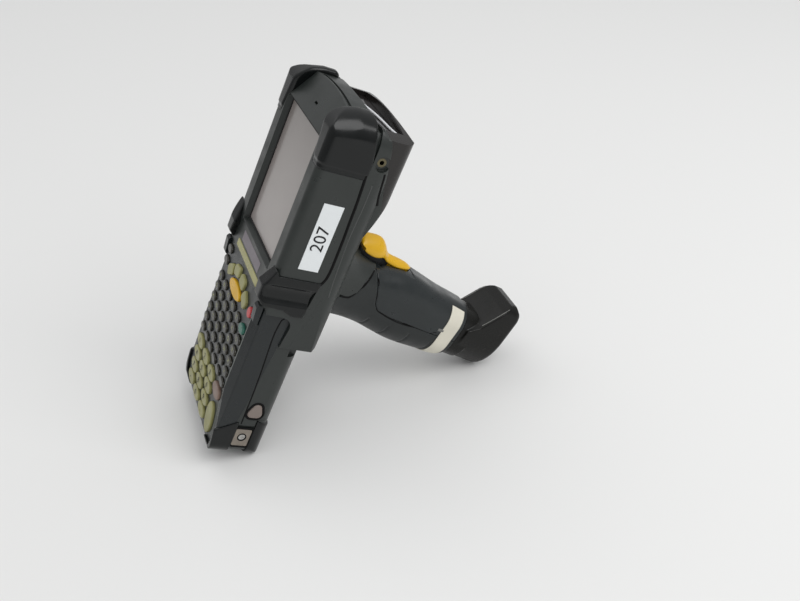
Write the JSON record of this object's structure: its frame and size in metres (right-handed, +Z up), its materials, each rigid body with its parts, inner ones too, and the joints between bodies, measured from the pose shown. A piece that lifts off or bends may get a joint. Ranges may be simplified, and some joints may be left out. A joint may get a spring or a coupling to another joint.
{
  "type": "barcode data terminal",
  "caption": "Hand-held data terminal with a display, a lettered keypad, a scanner window at its head and a pistol grip with a trigger and a broad foot.",
  "frame": {"origin": "middle of the footprint on the surface it rests on", "axes": "+Z up, +X to the right of someone who faces the display; the display looks towards -Y and up, the handle runs down towards +Y"},
  "size_m": [0.0914, 0.2206, 0.2188],
  "materials": {
    "housing": "fine spark texture, satin",
    "keypad_housing": "smooth satin",
    "bumper_rubber": "smooth, half gloss",
    "grip_rubber": "satin",
    "foot_plastic": "gloss, lightly worn",
    "battery_case": "satin",
    "display_glass": "anti-glare touch panel",
    "display_panel": "smooth",
    "circuit_board": "solder mask",
    "speaker_case": "smooth",
    "scan_glass": "clear with a grey coat",
    "engine_case": "smooth",
    "socket_brass": "worn plating",
    "steel": "plain",
    "plate_metal": "matt, lightly stained",
    "button_grey": "satin",
    "key_mat": "silicone, half gloss",
    "strip": "satin",
    "light_bar": "translucent, satin",
    "yellow_plastic": "satin",
    "tape": "matt, scuffed",
    "label": "paper-like",
    "red_key": "satin",
    "green_key": "satin",
    "clear_key": "satin",
    "pale_key": "satin"
  },
  "bodies": {
    "terminal": {"front_housing": "housing", "rear_housing": "housing", "display_window": "display_glass", "display_module": "display_panel", "main_board": "circuit_board", "speaker": "speaker_case", "scan_hood": "housing", "scan_window": "scan_glass", "scan_engine": "engine_case", "headset_jack": "socket_brass", "housing_screws": "steel", "bumper_top_left": "bumper_rubber", "bumper_top_right": "bumper_rubber", "bumper_waist_left": "bumper_rubber", "bumper_waist_right": "bumper_rubber", "bumper_end_left": "bumper_rubber", "bumper_end_right": "bumper_rubber", "battery_contacts": "socket_brass", "release_springs": "steel", "keypad_frame": "keypad_housing", "keypad_mat": "key_mat", "keypad_board": "circuit_board", "keypad_plates": "plate_metal", "keypad_screws": "steel", "name_strip": "strip", "indicator_bar": "light_bar", "handle_shell": "keypad_housing", "handle_grip": "grip_rubber", "trigger_pin": "steel", "trigger_spring": "steel", "trigger_switch": "speaker_case", "handle_foot": "foot_plastic", "marking_tape": "tape", "asset_label": "label"},
    "trigger": {"trigger": "yellow_plastic"},
    "battery": {"battery_pack": "battery_case", "battery_bumpers": "bumper_rubber"},
    "release_left": {"release_button_left": "button_grey"},
    "release_right": {"release_button_right": "button_grey"},
    "key_power": {"key_power": "red_key"},
    "key_green": {"key_green": "green_key"},
    "key_scan": {"key_scan": "yellow_plastic"},
    "key_nav_left": {"key_nav_left": "pale_key"},
    "key_nav_up": {"key_nav_up": "pale_key"},
    "key_nav_down": {"key_nav_down": "pale_key"},
    "key_nav_right": {"key_nav_right": "pale_key"},
    "key_clear": {"key_clear": "clear_key"},
    "key_enter": {"key_enter": "pale_key"},
    "key_number_1_1": {"key_number_1_1": "pale_key"},
    "key_number_1_2": {"key_number_1_2": "pale_key"},
    "key_number_1_3": {"key_number_1_3": "pale_key"},
    "key_number_2_1": {"key_number_2_1": "pale_key"},
    "key_number_2_2": {"key_number_2_2": "pale_key"},
    "key_number_2_3": {"key_number_2_3": "pale_key"},
    "key_number_3_1": {"key_number_3_1": "pale_key"},
    "key_number_3_2": {"key_number_3_2": "pale_key"},
    "key_number_3_3": {"key_number_3_3": "pale_key"},
    "key_number_4_1": {"key_number_4_1": "pale_key"},
    "key_number_4_2": {"key_number_4_2": "pale_key"},
    "key_number_4_3": {"key_number_4_3": "pale_key"}
  },
  "joints": [
    {"name": "trigger_pull", "type": "hinge", "parent": "terminal", "child": "trigger", "pos_m": [0, 0.02904, 0.08327], "axis": [1, 0, 0], "range_deg": [0, 5], "stiffness_Nm_per_rad": 0.4, "springref_deg": -20.05, "deforming": ["trigger_spring"]},
    {"name": "battery_slide", "type": "slide", "parent": "terminal", "child": "battery", "axis": [0, -0.427, -0.9042], "range_m": [0, 0.082]},
    {"name": "release_press_left", "type": "slide", "parent": "terminal", "child": "release_left", "axis": [1, 0, 0], "range_m": [0, 0.0015], "stiffness_N_per_m": 400, "springref_m": -0.002, "deforming": ["release_springs"]},
    {"name": "release_press_right", "type": "slide", "parent": "terminal", "child": "release_right", "axis": [-1, 0, 0], "range_m": [0, 0.0015], "stiffness_N_per_m": 400, "springref_m": -0.002, "deforming": ["release_springs"]},
    {"name": "press_power", "type": "slide", "parent": "terminal", "child": "key_power", "axis": [0, 0.9042, -0.427], "range_m": [0, 0.0007], "stiffness_N_per_m": 300, "springref_m": -0.002},
    {"name": "press_green", "type": "slide", "parent": "terminal", "child": "key_green", "axis": [0, 0.9042, -0.427], "range_m": [0, 0.0007], "stiffness_N_per_m": 300, "springref_m": -0.002},
    {"name": "press_scan", "type": "slide", "parent": "terminal", "child": "key_scan", "axis": [0, 0.9042, -0.427], "range_m": [0, 0.0007], "stiffness_N_per_m": 300, "springref_m": -0.002},
    {"name": "press_nav_left", "type": "slide", "parent": "terminal", "child": "key_nav_left", "axis": [0, 0.9042, -0.427], "range_m": [0, 0.0007], "stiffness_N_per_m": 300, "springref_m": -0.002},
    {"name": "press_nav_up", "type": "slide", "parent": "terminal", "child": "key_nav_up", "axis": [0, 0.9042, -0.427], "range_m": [0, 0.0007], "stiffness_N_per_m": 300, "springref_m": -0.002},
    {"name": "press_nav_down", "type": "slide", "parent": "terminal", "child": "key_nav_down", "axis": [0, 0.9042, -0.427], "range_m": [0, 0.0007], "stiffness_N_per_m": 300, "springref_m": -0.002},
    {"name": "press_nav_right", "type": "slide", "parent": "terminal", "child": "key_nav_right", "axis": [0, 0.9042, -0.427], "range_m": [0, 0.0007], "stiffness_N_per_m": 300, "springref_m": -0.002},
    {"name": "press_clear", "type": "slide", "parent": "terminal", "child": "key_clear", "axis": [0, 0.9387, -0.3447], "range_m": [0, 0.0007], "stiffness_N_per_m": 300, "springref_m": -0.002},
    {"name": "press_enter", "type": "slide", "parent": "terminal", "child": "key_enter", "axis": [0, 0.9387, -0.3447], "range_m": [0, 0.0007], "stiffness_N_per_m": 300, "springref_m": -0.002},
    {"name": "press_number_1_1", "type": "slide", "parent": "terminal", "child": "key_number_1_1", "axis": [0, 0.9387, -0.3447], "range_m": [0, 0.0007], "stiffness_N_per_m": 300, "springref_m": -0.002},
    {"name": "press_number_1_2", "type": "slide", "parent": "terminal", "child": "key_number_1_2", "axis": [0, 0.9387, -0.3447], "range_m": [0, 0.0007], "stiffness_N_per_m": 300, "springref_m": -0.002},
    {"name": "press_number_1_3", "type": "slide", "parent": "terminal", "child": "key_number_1_3", "axis": [0, 0.9387, -0.3447], "range_m": [0, 0.0007], "stiffness_N_per_m": 300, "springref_m": -0.002},
    {"name": "press_number_2_1", "type": "slide", "parent": "terminal", "child": "key_number_2_1", "axis": [0, 0.9387, -0.3447], "range_m": [0, 0.0007], "stiffness_N_per_m": 300, "springref_m": -0.002},
    {"name": "press_number_2_2", "type": "slide", "parent": "terminal", "child": "key_number_2_2", "axis": [0, 0.9387, -0.3447], "range_m": [0, 0.0007], "stiffness_N_per_m": 300, "springref_m": -0.002},
    {"name": "press_number_2_3", "type": "slide", "parent": "terminal", "child": "key_number_2_3", "axis": [0, 0.9387, -0.3447], "range_m": [0, 0.0007], "stiffness_N_per_m": 300, "springref_m": -0.002},
    {"name": "press_number_3_1", "type": "slide", "parent": "terminal", "child": "key_number_3_1", "axis": [0, 0.9387, -0.3447], "range_m": [0, 0.0007], "stiffness_N_per_m": 300, "springref_m": -0.002},
    {"name": "press_number_3_2", "type": "slide", "parent": "terminal", "child": "key_number_3_2", "axis": [0, 0.9387, -0.3447], "range_m": [0, 0.0007], "stiffness_N_per_m": 300, "springref_m": -0.002},
    {"name": "press_number_3_3", "type": "slide", "parent": "terminal", "child": "key_number_3_3", "axis": [0, 0.9387, -0.3447], "range_m": [0, 0.0007], "stiffness_N_per_m": 300, "springref_m": -0.002},
    {"name": "press_number_4_1", "type": "slide", "parent": "terminal", "child": "key_number_4_1", "axis": [0, 0.9387, -0.3447], "range_m": [0, 0.0007], "stiffness_N_per_m": 300, "springref_m": -0.002},
    {"name": "press_number_4_2", "type": "slide", "parent": "terminal", "child": "key_number_4_2", "axis": [0, 0.9387, -0.3447], "range_m": [0, 0.0007], "stiffness_N_per_m": 300, "springref_m": -0.002},
    {"name": "press_number_4_3", "type": "slide", "parent": "terminal", "child": "key_number_4_3", "axis": [0, 0.9387, -0.3447], "range_m": [0, 0.0007], "stiffness_N_per_m": 300, "springref_m": -0.002}
  ]
}
